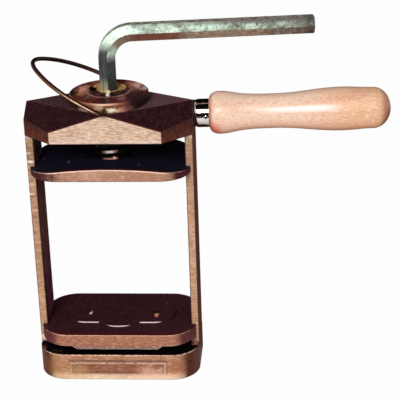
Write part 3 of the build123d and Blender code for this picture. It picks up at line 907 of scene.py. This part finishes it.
def pressScrew(shape):
    low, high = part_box("press_screw")
    bottom, top, crest = low.z / mm, high.z / mm, high.x / mm
    root = crest - shape["threadDepth"]
    ridge = crest - shape["crestDrop"]
    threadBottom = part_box("keeper_left")[1].z / mm + shape["neckGap"]
    pitch, width = shape["pitch"], shape["crestWidth"]
    flank = (pitch - 2 * width) / 2
    # one pitch of thread, wound up well past both ends; it starts at the front, on the -Y side
    start = shape["crestAtFront"] - width / 2 - flank
    start -= pitch * (int((start - threadBottom) / pitch) + 3)
    thread = drawProfile("press_screw_thread", [
        (root, start),
        (ridge, start + flank),
        (ridge, start + flank + width),
        (root, start + 2 * flank + width),
        (root, start + pitch),
    ])
    bpy.ops.transform.rotate(value=pi / 2, orient_axis="Z", center_override=(0, 0, 0))
    bpy.ops.object.transform_apply()
    turns = int((top - start) / pitch) + 2
    modify(
        thread, "SCREW", axis="Z", angle=tau, screw_offset=pitch * mm, iterations=turns,
        steps=shape["steps"], render_steps=shape["steps"], use_normal_calculate=True,
        use_merge_vertices=True, merge_threshold=0.001 * mm,
    )
    tidyMesh(thread)
    cutFlat(thread, threadBottom, keepAbove=True)
    cutFlat(thread, top - shape["land"] / 2, keepAbove=False)
    tidyMesh(thread)
    rim, floorHeight = shape["rimWidth"], top - shape["dishDepth"]
    inner, core = crest - rim, root - shape["coreGap"]
    bowl = []
    for step in range(shape["dishSteps"] + 1):
        share = step / shape["dishSteps"]
        slope = (1 - shape["dishCurve"]) * share + shape["dishCurve"] * (1 - (1 - share) ** 3)
        bowl.append((inner + (shape["dishFloor"] - inner) * share, top - shape["dishDepth"] * slope))
    piece = drawProfile("press_screw", [
        (0, bottom),
        (shape["buttonRadius"], bottom),
        (shape["buttonRadius"], bottom + shape["buttonThickness"]),
        (shape["neckRadius"], bottom + shape["buttonThickness"]),
        (shape["neckRadius"], threadBottom + shape["coreStart"]),
        (core, threadBottom + shape["coreStart"]),
        (core, top - shape["land"]),
        (crest, top - shape["land"]),
        (crest, top - rim / 2),
        (crest - 0.15 * rim, top - 0.15 * rim),
        (crest - 0.5 * rim, top),
        *bowl,
        (0, floorHeight),
    ])
    lathe(piece, shape["steps"])
    joinSolids(piece, thread, "UNION")
    corner = shape["socketFlats"] / cos(pi / 6) / 2
    bpy.ops.mesh.primitive_cylinder_add(
        vertices=6, radius=corner * mm, depth=2 * shape["socketDepth"] * mm,
        location=(0, 0, floorHeight * mm),
    )
    hexagon = bpy.context.object
    # a primitive's first corner lies on +Y; the key's flats face along its arm
    bpy.ops.transform.rotate(value=radians(-shape["socketTurn"]), orient_axis="Z", center_override=(0, 0, 0))
    joinSolids(piece, hexagon, "DIFFERENCE")
    tidyMesh(piece, merge=0.0005)
    finishPiece(piece, screwBrass, 32)
    piece.name = piece.data.name = "press_screw_turned"
    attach(piece, "screw")
    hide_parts("press_screw")


pressScrew(screwShape)
print("press screw modelled")

# hexagon key

keyLook = {
    "zinc": (140, 150, 136),
    "zincPale": (220, 244, 222),
    "zincIce": (194, 226, 218),
    "zincDull": (80, 82, 74),
    "olive": (128, 124, 96),
    "upperTone": (104, 98, 94),
    "topFace": (204, 194, 174),
    "topDark": (112, 96, 84),
    "slate": (66, 66, 74),
    "slateDark": (38, 32, 38),
    "slateRight": (56, 40, 44),
    "slateFoot": (16, 8, 14),
    "moss": (186, 180, 140),
    "brown": (138, 76, 62),
    "brownGrey": (158, 132, 112),
    "brownPale": (196, 180, 160),
    "brownEnd": (118, 102, 100),
    "brownDark": (88, 52, 44),
    "bend": (36.0, 20.0),
    "along": (24.0, 104.0),
    "leg": (238.5, 230.5),
    "footBand": (224.0, 210.0),
    "mossBand": (213.0, 204.0),
    "upperToneFrom": (243.0, 245.4),
    "armFades": ((44.0, 56.0), (100.0, 112.0)),
    "armStart": (20.0, 12.0),
    "tip": (127.0, 134.0),
}

# gold light thrown up from the brass onto its front corner
keySpots = (
    ((0.5, -6.3, 202.4), 1.8, (255, 246, 190), 0.9),
)


def zincPlate(name, look, spots):
    material, tree, shader = newMaterial(name, Metallic=0.3, Specular_IOR_Level=0.2)
    spot, lean = place(tree), facing(tree)
    x, y, z = axes(spot)
    spangle = noise(spot, 2.4, detail=6, rough=0.7, warp=0.4)
    cloud = noise(spot, 7, detail=4, stretch=(0.5, 1, 1))
    grain = noise(spot, 0.9, detail=2)
    along = spread(x, *look["along"])
    colour = blend(spread(cloud, 0.42, 0.6), look["zincPale"], look["zinc"])
    # paler at the bend, a painted reflection
    colour = tint(colour, look["zincPale"], spread(x, *look["bend"]), 0.4)
    colour = tint(colour, look["olive"], along, 0.4)
    colour = tint(colour, look["zincIce"], spread(grain, 0.52, 0.68), spread(cloud, 0.62, 0.45), 0.85)
    colour = tint(colour, look["zincDull"], spread(spangle, 0.46, 0.66), slide(along, 0.6, 0.95))
    # greyer high on the arm
    upperShare = spread(maths("ADD", z, slide(spangle, -1.6, 1.6)), *look["upperToneFrom"])
    colour = tint(colour, look["upperTone"], upperShare, slide(along, 0.35, 0.95))
    colour = tint(colour, look["brownDark"], spread(grain, 0.45, 0.3), 0.4)
    # the top faces take their own tone, a painted reflection
    level = blend(spread(spangle, 0.44, 0.6), look["topFace"], look["topDark"])
    colour = tint(colour, level, spread(lean[2], 0.8, 0.93), 0.9)
    # the arm's underside: a painted reflection, brown beside the bend, greyer towards the tip
    middle, end = (spread(x, *fade) for fade in look["armFades"])
    below = tint(blend(middle, look["brown"], look["brownGrey"]), look["brownEnd"], end)
    below = tint(below, look["brownGrey"], spread(x, *look["armStart"]))
    below = tint(below, look["brownDark"], spread(spangle, 0.45, 0.7), 0.6)
    below = tint(below, look["brownPale"], spread(spangle, 0.48, 0.36), middle, 0.6)
    colour = tint(colour, below, spread(times(lean[2], -1.0), 0.15, 0.4), 0.95)
    # the leg in painted shade, from lower down on its right face; its foot has a painted green reflection
    # to the left and is black to the right
    drawn = noise(spot, 1.2, stretch=(1, 1, 0.12))
    right = spread(lean[0], 0.05, 0.4)
    leg = maths("ADD", maths("ADD", z, times(spangle, 5.0)), times(right, 7.0))
    slate = blend(spread(drawn, 0.4, 0.62), look["slate"], look["slateDark"])
    green = times(spread(z, *look["mossBand"]), spread(lean[0], 0.1, -0.2))
    slate = tint(slate, look["moss"], green, slide(spread(drawn, 0.6, 0.4), 0.6, 1.3), 0.65)
    shade = blend(spread(drawn, 0.42, 0.6), look["slateRight"], look["slateDark"])
    shade = tint(shade, look["slateFoot"], spread(z, *look["footBand"]), 0.8)
    colour = tint(colour, tint(slate, shade, right), spread(leg, *look["leg"]), 0.95)
    colour = spotted(spot, colour, spots, spangle)
    colour = tint(colour, look["slateDark"], spread(x, *look["tip"]), spread(spangle, 0.62, 0.4), 0.85)
    feed(shader, Base_Color=colour, Roughness=slide(spangle, 0.3, 0.5))
    relief(shader, maths("ADD", spangle, times(grain, 0.4)), 0.08, soften=0.6)
    return material


dress(zincPlate("keyZinc", keyLook, keySpots), "hex_key")
print("key dressed")

# bail wire

bailLook = {
    "bright": (255, 228, 194),
    "hot": (255, 240, 214),
    "brass": (108, 62, 32),
    "copper": (124, 60, 44),
    "dark": (40, 15, 10),
    "shineAlong": (-0.2, -0.955, 0.22),
    "copperBack": (-6.0, 10.0),
    "shineFront": (-4.0, -18.0),
    "shineLeft": (-36.0, -12.0),
    "hotAlong": ((-13.0, -8.5), (-3.5, -6.0)),
    "hotFront": (-20.0, -30.0),
    "pinRadius": (29.5, 28.0),
}


def drawnWire(name, look):
    # a patina all round, with a painted highlight along the upper front and painted shade on the sides
    material, tree, shader = newMaterial(name, Metallic=0.2, Specular_IOR_Level=0.1)
    spot = place(tree)
    x, y, z = axes(spot)
    radius = turning(x, y, z)[0]
    lean = addNode(tree, "TexCoord").outputs["Normal"]
    up = joinNode("VectorMath", {0: lean, 1: look["shineAlong"]}, operation="DOT_PRODUCT").outputs["Value"]
    mottle = noise(spot, 3, detail=4)
    grain = noise(spot, 0.8)
    colour = tint(look["brass"], look["copper"], spread(y, *look["copperBack"]))
    # painted shade on the sides turned away
    colour = tint(colour, look["dark"], spread(up, 0.95, 0.74))
    shine = times(spread(up, 0.95, 0.998), spread(y, *look["shineFront"]))
    shine = times(shine, slide(spread(x, *look["shineLeft"]), 0.15, 1.0))
    colour = tint(colour, look["bright"], shine, slide(mottle, 0.1, 1.3))
    # a brighter painted highlight near the lower end
    hot = times(*(spread(x, *limits) for limits in look["hotAlong"]), spread(y, *look["hotFront"]))
    colour = tint(colour, look["hot"], hot, spread(up, 0.92, 0.995), 0.85)
    colour = tint(colour, look["dark"], spread(grain, 0.55, 0.75), 0.4)
    # the pin by the nut in painted shade
    colour = tint(colour, look["dark"], spread(radius, *look["pinRadius"]))
    feed(shader, Base_Color=colour, Roughness=slide(mottle, 0.28, 0.44))
    relief(shader, grain, 0.03)
    return material


dress(drawnWire("bailBrass", bailLook), "bail")
print("bail dressed")

# ferrule, brad and washer

ferruleLook = {
    "nickel": (236, 230, 226),
    "tarnish": (196, 180, 168),
    "lower": (168, 150, 142),
    "shaded": (58, 48, 48),
    "smear": 4.0,
}


def polishedNickel(name, look):
    material, tree, shader = newMaterial(name, Metallic=1.0)
    spot, lean = place(tree), facing(tree)
    cloud = noise(spot, look["smear"], detail=4)
    colour = blend(spread(cloud, 0.5, 0.8), look["nickel"], look["tarnish"])
    # painted shade underneath and on the left
    colour = tint(colour, look["lower"], spread(lean[2], 0.0, -0.6), 0.9)
    colour = tint(colour, look["shaded"], spread(lean[0], -0.3, -0.6), spread(lean[2], 0.3, 0.05))
    feed(shader, Base_Color=colour, Roughness=slide(cloud, 0.05, 0.14))
    relief(shader, noise(spot, 0.3, stretch=(1, 0.1, 0.1)), 0.006)
    return material


# the axis that the ferrule and the handle share
handleAxis = {"start": (56.0, 0.0, 185.0), "rise": 1.5}

ferruleShape = {
    "washer": 1.1,
    "radius": 9.5,
    "bore": 8.5,
    "length": 9.6,
    "endDepth": 1.3,
    "endLength": 2.8,
    "endSteps": 9,
    "lead": 0.3,
    "break": 0.2,
    "steps": 96,
}


def turnedFerrule(shape, material):
    # turned standing up, then laid over onto the handle's axis
    radius, bore, length, depth = (shape[key] for key in ("radius", "bore", "length", "endDepth"))
    outline = [(bore, shape["lead"])]
    for step in range(shape["endSteps"] + 1):
        lean = pi / 2 * step / shape["endSteps"]
        outline.append((radius - depth + depth * sin(lean), shape["endLength"] * (1 - cos(lean))))
    outline += [(radius, length - shape["break"]), (radius - shape["break"], length)]
    outline += [(bore, length), (bore, shape["lead"])]
    piece = drawProfile("ferrule_turned", outline)
    lathe(piece, shape["steps"])
    tilt = radians(90 - handleAxis["rise"])
    with editing(piece):
        bpy.ops.transform.translate(value=(0, 0, shape["washer"] * mm))
        bpy.ops.transform.rotate(value=-tilt, orient_axis="Y", center_override=(0, 0, 0))
        bpy.ops.transform.translate(value=tuple(c * mm for c in handleAxis["start"]))
    finishPiece(piece, material, 40)
    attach(piece, "frame")
    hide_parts("ferrule")


ferruleNickel = polishedNickel("ferruleNickel", ferruleLook)
dress(ferruleNickel, "ferrule_pin")
turnedFerrule(ferruleShape, ferruleNickel)
print("ferrule turned")

washerLook = {"black": (22, 16, 18), "dust": (52, 42, 42)}


def blackRubber(name, look):
    material, tree, shader = newMaterial(name, Specular_IOR_Level=0.3)
    spot = place(tree)
    cloud = noise(spot, 2, detail=4)
    colour = blend(spread(cloud, 0.5, 0.75), look["black"], look["dust"])
    feed(shader, Base_Color=colour, Roughness=slide(cloud, 0.5, 0.75))
    relief(shader, noise(spot, 0.4), 0.05)
    return material


dress(blackRubber("washerBlack", washerLook), "stud_washer")

# small steel pieces

steelLooks = {
    # the keepers and their screws: black oxide, as dark as the painted shade on the platen's top
    "keeperSteel": {
        "colour": (20, 18, 30),
        "second": (12, 11, 20),
        "bare": (20, 18, 30),
        "metallic": 0.0,
        "gloss": 0.02,
        "wearAndGlint": 0.6,
    },
    "fastenerSteel": {
        "colour": (66, 36, 38),
        "second": (44, 24, 28),
        "bare": (120, 80, 74),
        "metallic": 0.3,
        "gloss": 0.1,
        "wearAndGlint": 0.3,
    },
    "springSteel": {
        "colour": (96, 88, 88),
        "second": (56, 50, 52),
        "bare": (180, 172, 168),
        "metallic": 0.9,
        "gloss": 0.3,
        "wearAndGlint": 0.6,
    },
}

# light caught on the ends of the shoulder screws
steelSpots = (
    ((-21.8, -1.7, 35.7), 1.5, (255, 240, 230), 1.0),
    ((25.3, -4.6, 35.7), 2.0, (236, 156, 122), 1.0),
)


def oiledSteel(name, look, spots=()):
    material, tree, shader = newMaterial(name, Metallic=look["metallic"], Specular_IOR_Level=look["gloss"])
    spot = place(tree)
    cloud = noise(spot, 3, detail=5)
    colour = blend(spread(cloud, 0.4, 0.7), look["colour"], look["second"])
    # bare metal on the edges from wear, also a painted highlight there
    colour = tint(colour, look["bare"], edges(tree, 0.35), spread(cloud, 0.35, 0.6), look["wearAndGlint"])
    colour = spotted(spot, colour, spots, cloud, squash=(1, 0.45, 1))
    feed(shader, Base_Color=colour, Roughness=slide(cloud, 0.3, 0.5))
    relief(shader, noise(spot, 0.5), 0.04)
    return material


dress(
    oiledSteel("keeperSteel", steelLooks["keeperSteel"]),
    "keeper_left", "keeper_right", "thrust_disc", "keeper_screw_left", "keeper_screw_right",
)
dress(
    oiledSteel("fastenerSteel", steelLooks["fastenerSteel"], steelSpots),
    "shoulder_screw_left", "shoulder_screw_right", "handle_stud",
)
print("small steel dressed")

# coil springs under the lower plate

springShape = {
    "wire": 1.5,
    "turns": 3.5,
    "steps": 30,
    "sides": 12,
}


def plateSpring(node, shape, material):
    low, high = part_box(node)
    middle = (low + high) / 2
    wire = shape["wire"] * mm
    steps = int(shape["turns"] * shape["steps"])
    bpy.ops.mesh.primitive_circle_add(
        vertices=shape["sides"], radius=wire / 2, rotation=(pi / 2, 0, 0),
        location=((high.x - low.x - wire) / 2, 0, low.z + wire / 2),
    )
    piece = bpy.context.object
    piece.name = piece.data.name = node + "_coiled"
    bpy.ops.object.transform_apply()
    modify(
        piece, "SCREW", axis="Z", angle=shape["turns"] * tau, screw_offset=high.z - low.z - wire,
        steps=steps, render_steps=steps,
    )
    with editing(piece):
        bpy.ops.mesh.fill_holes(sides=0)
        bpy.ops.mesh.select_all(action="SELECT")
        bpy.ops.transform.translate(value=(middle.x, middle.y, 0))
    tidyMesh(piece)
    finishPiece(piece, material, 40)
    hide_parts(node)
    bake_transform(piece)


springSteel = oiledSteel("springSteel", steelLooks["springSteel"])
for side in ("left", "right"):
    plateSpring("plate_spring_" + side, springShape, springSteel)
print("springs coiled")

# lacquered wooden handle

woodLook = {
    "pale": (248, 212, 189),
    "pink": (222, 165, 140),
    "straw": (252, 224, 188),
    "tan": (242, 192, 154),
    "tanPink": (218, 152, 124),
    "under": (255, 170, 122),
    "endGrain": (178, 102, 70),
    "amber": (228, 112, 84),
    "shoulderHighlight": (255, 244, 236),
    "length": 130.0,
    "tanFrom": (0.45, 0.85),
    "shoulderHighlightAlong": ((0.28, 0.44), (0.78, 0.66)),
    "amberTo": (0.165, 0.11),
    "amberBelow": (1.0, -8.0),
}


def lacqueredWood(name, look):
    material, tree, shader = newMaterial(name, Coat_Weight=1.0, Coat_Roughness=0.33, Specular_IOR_Level=0.0)
    turn = (0, radians(handleAxis["rise"]), 0)
    spot = place(tree, centre=tuple(c * mm for c in handleAxis["start"]), turn=turn)
    lean = facing(tree)
    x, y, z = axes(spot)
    fibre = noise(spot, 1.0, detail=4, rough=0.6, stretch=(0.1, 1, 1))
    flecks = noise(spot, 1.3, rough=0.65, stretch=(0.6, 1, 1))
    dashes = noise(spot, 1.1, detail=2, rough=0.6, stretch=(0.35, 1, 1))
    figure = noise(spot, 8, warp=0.6, stretch=(0.14, 1, 1))
    share = maths("DIVIDE", x, look["length"])
    right = spread(maths("ADD", share, slide(figure, -0.12, 0.12)), *look["tanFrom"])
    colour = blend(right, look["pale"], look["tan"])
    mark = blend(right, look["pink"], look["tanPink"])
    colour = tint(colour, mark, spread(figure, 0.45, 0.7), 0.4)
    colour = tint(colour, mark, spread(flecks, 0.48, 0.66), 0.62)
    colour = tint(colour, look["straw"], spread(dashes, 0.54, 0.68), 0.7)
    colour = tint(colour, mark, spread(fibre, 0.55, 0.75), 0.3)
    # more orange underneath, painted warm light from below
    colour = tint(colour, look["under"], spread(lean[2], 0.0, -0.9), 0.4)
    # a painted highlight along the upper front, amber low on the left end
    shoulder = times(spread(lean[2], 0.12, 0.28), spread(lean[2], 0.54, 0.38), spread(lean[1], 0.0, -0.3))
    shoulder = times(shoulder, *(spread(share, *limits) for limits in look["shoulderHighlightAlong"]))
    colour = tint(colour, look["shoulderHighlight"], shoulder, slide(figure, 0.3, 0.85))
    low = times(spread(share, *look["amberTo"]), spread(z, *look["amberBelow"]))
    colour = tint(colour, look["amber"], low, slide(noise(spot, 12), 0.6, 1.2))
    colour = tint(colour, look["endGrain"], spread(maths("ABSOLUTE", lean[0]), 0.3, 0.85), 0.8)
    feed(shader, Base_Color=colour, Roughness=slide(fibre, 0.4, 0.56))
    relief(shader, maths("ADD", fibre, flecks), 0.04)
    return material


dress(lacqueredWood("handleWood", woodLook), "handle")
print("handle dressed")

# the end

print("scene built")
